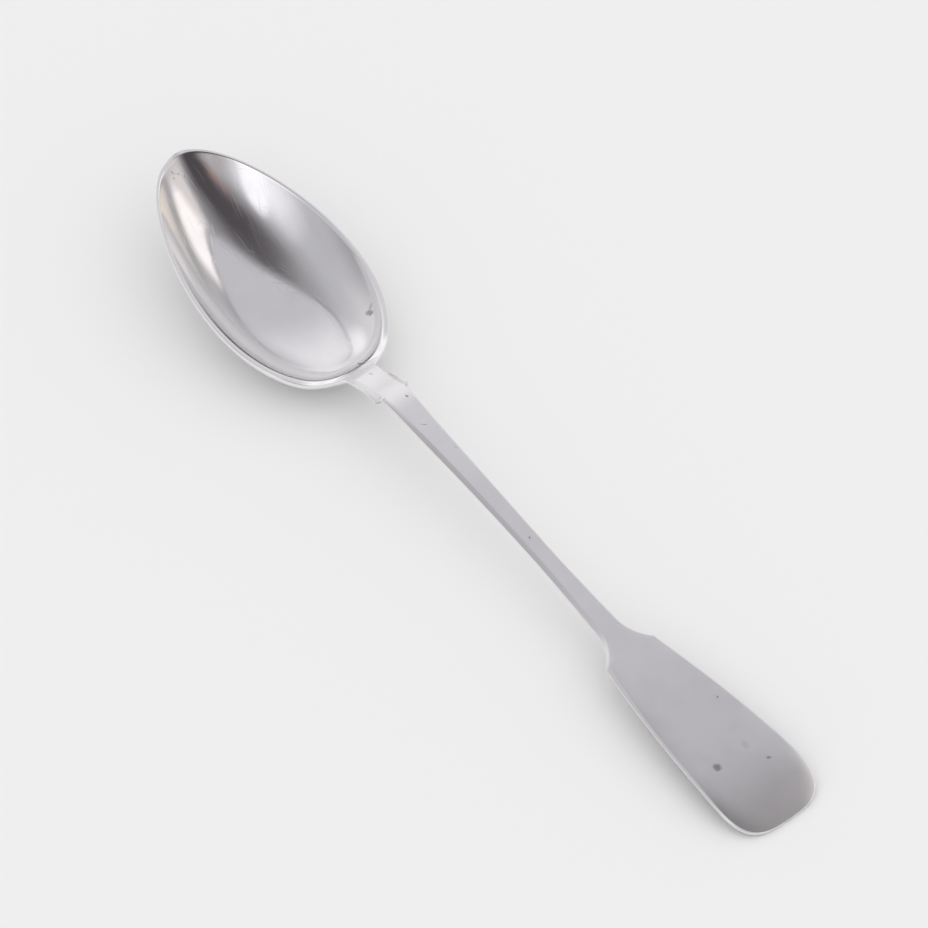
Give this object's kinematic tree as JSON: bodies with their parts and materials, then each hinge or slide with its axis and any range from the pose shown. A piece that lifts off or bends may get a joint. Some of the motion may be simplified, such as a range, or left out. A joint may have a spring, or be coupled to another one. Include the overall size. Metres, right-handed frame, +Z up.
{
  "type": "dessert spoon",
  "caption": "Silver dessert spoon with an egg-shaped bowl, a flat rim, lugs at the neck, a slim arched stem and a fiddle-shaped end, for eating puddings",
  "frame": {"origin": "middle of the spoon's length and width, on the surface that it rests on", "axes": "+X runs from the bowl to the end of the handle, +Z is up out of the bowl, +Y is to the left of someone who looks along +X"},
  "size_m": [0.1779, 0.0342, 0.0161],
  "materials": {
    "silver": "worn polished silver with fine scratches, small pits and a faint warm tarnish"
  },
  "bodies": {
    "root": {"spoon": "silver"}
  },
  "joints": []
}
